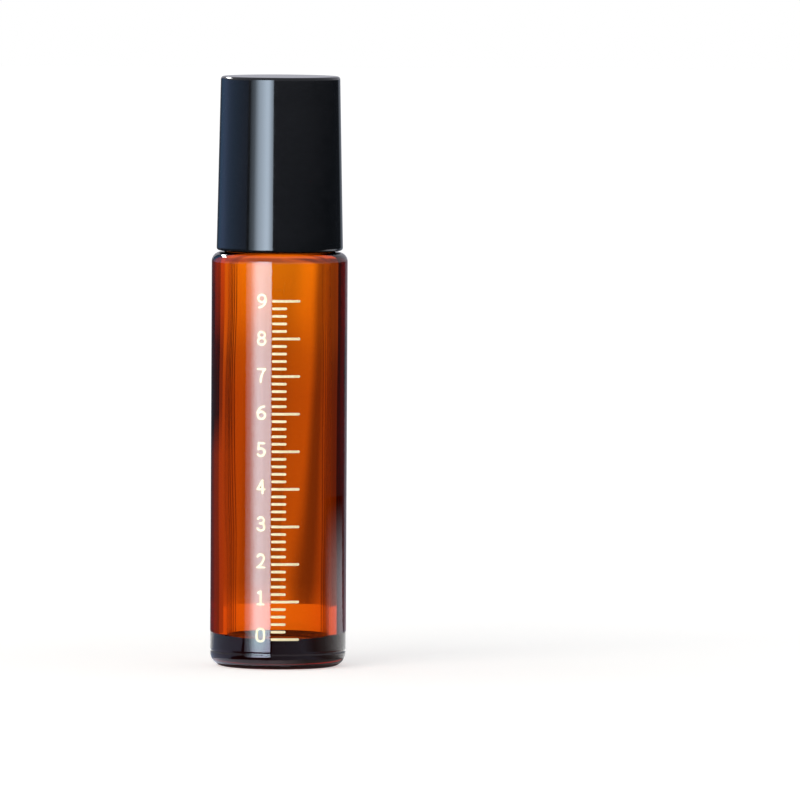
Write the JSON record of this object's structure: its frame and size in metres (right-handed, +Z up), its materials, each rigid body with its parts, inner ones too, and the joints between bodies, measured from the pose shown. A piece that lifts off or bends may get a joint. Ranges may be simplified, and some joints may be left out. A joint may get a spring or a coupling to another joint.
{
  "type": "roll on bottle",
  "caption": "Small amber glass roll on bottle with a printed millilitre scale, a steel ball in a plug with a black collar, and a black screw cap that lifts off as it turns.",
  "frame": {"origin": "centre of the bottle's foot, on the surface that it stands on", "axes": "+Z up along the bottle's axis; the printed scale faces -Y"},
  "size_m": [0.02, 0.0201, 0.0868],
  "materials": {
    "amber_glass": "clear gloss",
    "scale_ink": "satin ink",
    "plug_plastic": "satin",
    "collar_plastic": "gloss",
    "ball_steel": "polished",
    "cap_plastic": "gloss",
    "seal_plastic": "satin"
  },
  "bodies": {
    "bottle": {"bottle": "amber_glass", "scale_lines": "scale_ink", "scale_numerals": "scale_ink", "roller_plug": "plug_plastic", "collar": "collar_plastic"},
    "ball": {"ball": "ball_steel"},
    "cap_seal": {"cap_seal": "seal_plastic"},
    "cap": {"cap": "cap_plastic"}
  },
  "joints": [
    {"name": "ball_roll", "type": "hinge", "parent": "bottle", "child": "ball", "pos_m": [0, 0, 0.07955], "axis": [1, 0, 0], "continuous": true},
    {"name": "cap_lift", "type": "slide", "parent": "bottle", "child": "cap_seal", "axis": [0, 0, 1], "range_m": [0, 0.0254]},
    {"name": "cap_twist", "type": "hinge", "parent": "cap_seal", "child": "cap", "pos_m": [0, 0, 0.0868], "axis": [0, 0, 1], "range_deg": [0, 4320]}
  ],
  "couplings": [
    {"joint": "cap_lift", "follows": "cap_twist", "m_per_rad": 0.00033688}
  ]
}
